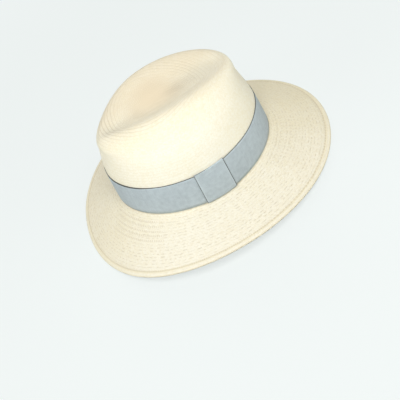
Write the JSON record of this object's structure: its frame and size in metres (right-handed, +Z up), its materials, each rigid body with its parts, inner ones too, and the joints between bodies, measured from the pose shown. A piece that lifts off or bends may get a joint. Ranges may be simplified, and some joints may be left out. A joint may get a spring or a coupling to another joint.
{
  "type": "fedora hat",
  "caption": "Straw fedora hat with a centre-dented crown, a snapped brim with a turned hem, a ribbon band with a plain keeper, and a sweatband inside.",
  "frame": {"origin": "middle of the hat's box, on the surface that the brim's rim stands on", "axes": "+Z up, -Y towards the front of the hat, +X towards the wearer's left"},
  "size_m": [0.316, 0.3368, 0.1444],
  "materials": {
    "straw": "bleached woven palm straw, matt with a faint sheen",
    "ribbon": "matt ribbed grosgrain in pale blue-grey",
    "sweatband": "cream cotton grosgrain",
    "reed": "cloth-covered cord",
    "bow": "narrow satin ribbon"
  },
  "bodies": {
    "root": {"straw_body": "straw", "ribbon_band": "ribbon", "ribbon_keeper": "ribbon", "sweatband": "sweatband", "sweatband_reed": "reed", "sweatband_bow": "bow", "sweatband_bow_knot": "bow"}
  },
  "joints": []
}
